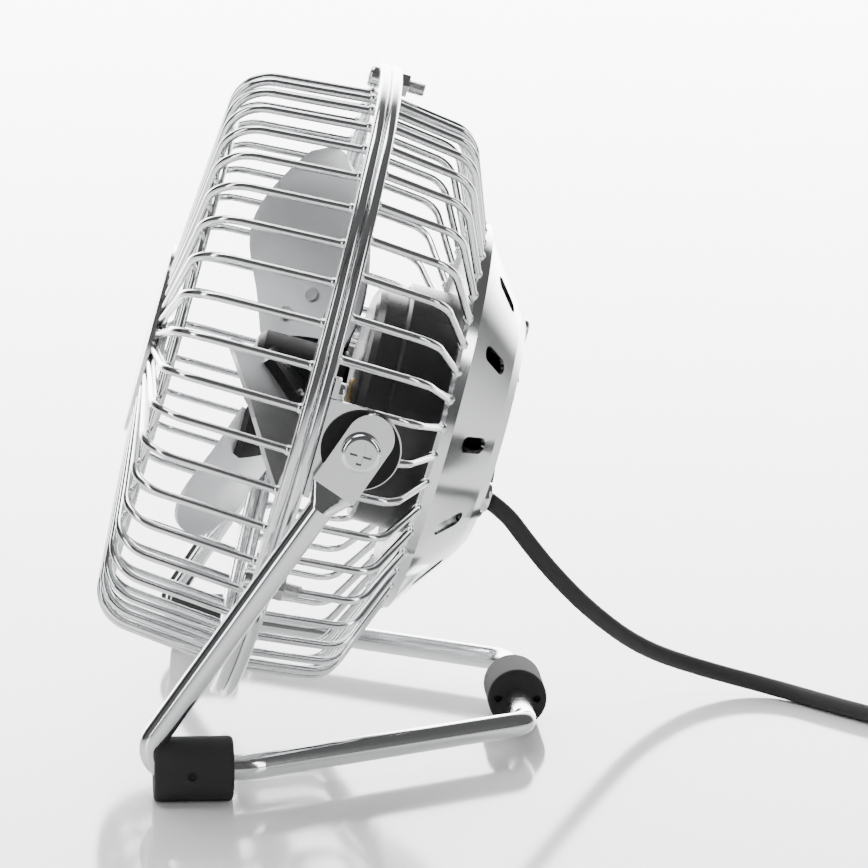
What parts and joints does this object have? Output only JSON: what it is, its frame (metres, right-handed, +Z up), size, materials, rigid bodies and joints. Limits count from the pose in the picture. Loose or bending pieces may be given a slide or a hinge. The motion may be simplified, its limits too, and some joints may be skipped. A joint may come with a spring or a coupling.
{
  "type": "desk fan",
  "caption": "Small chrome desk fan with a wire guard, aluminium blades and a bent rod stand, tilting on side pivots, with a rocker switch and a low-voltage lead.",
  "frame": {"origin": "Middle of the fan and its stand in plan, on the surface that the three feet stand on", "axes": "+X to the back, +Y to the fan's left seen from the front, +Z up; the fan blows towards -X"},
  "size_m": [0.2294, 0.1474, 0.1366],
  "materials": {
    "chrome": "polished plated steel",
    "bright_steel": "plain bright steel",
    "blade_aluminium": "fine grained satin",
    "housing_paint": "glossy moulded",
    "black_plastic": "fine moulded texture",
    "gloss_black": "smooth moulded",
    "foot_rubber": "satin moulded rubber",
    "cord_jacket": "satin flexible jacket",
    "bush_brass": "sintered",
    "magnet_grey": "matte sintered"
  },
  "bodies": {
    "stand": {"stand_rod": "chrome", "near_front_foot": "foot_rubber", "far_front_foot": "foot_rubber", "rear_foot": "foot_rubber", "power_cord": "cord_jacket", "cord_coil": "cord_jacket", "cord_tie": "black_plastic", "cord_tail": "cord_jacket", "plug_body": "gloss_black", "plug_shell": "bright_steel", "plug_tongue": "black_plastic"},
    "head": {"front_rim_ring": "chrome", "rear_rim_ring": "chrome", "rim_screws": "chrome", "rim_nuts": "chrome", "front_guard_wires": "chrome", "front_guard_hoop": "chrome", "rear_guard_wires": "chrome", "front_badge": "chrome", "badge_backing_plate": "bright_steel", "badge_rivet": "bright_steel", "rear_cover": "chrome", "cover_pillars": "bright_steel", "cover_screws": "chrome", "switch_body": "black_plastic", "switch_terminals": "bush_brass", "cable_gland": "gloss_black", "motor_mount_plate": "bright_steel", "front_motor_housing": "housing_paint", "rear_motor_housing": "housing_paint", "housing_screws": "bright_steel", "motor_can": "bright_steel", "motor_end_cap": "black_plastic", "motor_magnets": "magnet_grey", "motor_brushes": "bush_brass", "shaft_bushes": "bush_brass", "near_pivot_bracket": "chrome", "far_pivot_bracket": "chrome", "bracket_screws": "chrome", "pivot_screws": "chrome", "pivot_washers": "black_plastic", "pivot_nuts": "chrome"},
    "rotor": {"motor_shaft": "bright_steel", "motor_armature": "bright_steel", "motor_commutator": "bush_brass", "fan_hub": "black_plastic", "fan_blades": "blade_aluminium", "blade_pins": "bright_steel"},
    "rocker": {"switch_rocker": "gloss_black"}
  },
  "joints": [
    {"name": "head_tilt", "type": "hinge", "parent": "stand", "child": "head", "pos_m": [0.0059, 0, 0.0688], "axis": [0, 1, 0], "range_deg": [-35, 75], "deforming": ["power_cord"]},
    {"name": "rotor_spin", "type": "hinge", "parent": "head", "child": "rotor", "pos_m": [0.0059, 0, 0.0688], "axis": [-0.9673, 0, 0.2538], "continuous": true},
    {"name": "switch_rock", "type": "hinge", "parent": "head", "child": "rocker", "pos_m": [0.03826, 0, 0.07509], "axis": [0, 1, 0], "range_deg": [0, 16]}
  ]
}
